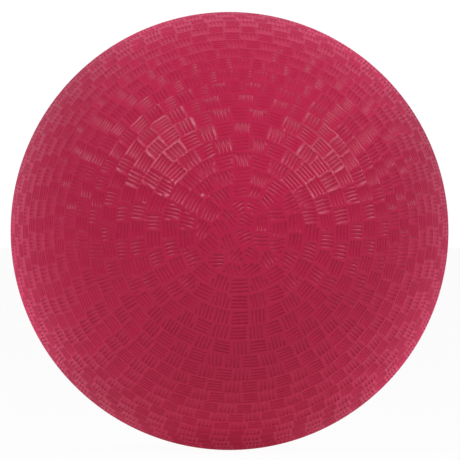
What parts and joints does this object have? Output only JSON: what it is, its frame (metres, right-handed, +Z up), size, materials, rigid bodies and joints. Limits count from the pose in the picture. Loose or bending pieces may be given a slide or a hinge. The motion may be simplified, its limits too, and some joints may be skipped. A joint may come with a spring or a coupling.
{
  "type": "playground ball",
  "caption": "Inflatable round rubber ball with a basket-weave cover, lapped rubber plies over a thread-wound bladder, and a needle valve in its rear pole.",
  "frame": {"origin": "centre of the ball", "axes": "+Y from the centre out through the needle valve, -Y out through the plain pole of the moulded pattern, +Z up"},
  "size_m": [0.2164, 0.2162, 0.2164],
  "materials": {
    "cover_rubber": "moulded matte rubber with a soft sheen",
    "ply_rubber": "calendered sheet rubber, matte",
    "nylon_thread": "wound nylon thread in rubber cement",
    "bladder_rubber": "smooth butyl, dusted with talc",
    "patch_fabric": "rubbered cotton weave",
    "valve_rubber": "firm moulded rubber, satin",
    "core_rubber": "soft self-sealing rubber, satin"
  },
  "bodies": {
    "root": {"cover_front": "cover_rubber", "cover_back": "cover_rubber", "inner_ply_front": "ply_rubber", "inner_ply_back": "ply_rubber", "nylon_winding": "nylon_thread", "bladder_front": "bladder_rubber", "bladder_back": "bladder_rubber", "valve_patch": "patch_fabric", "valve_body": "valve_rubber", "valve_core": "core_rubber"}
  },
  "joints": []
}
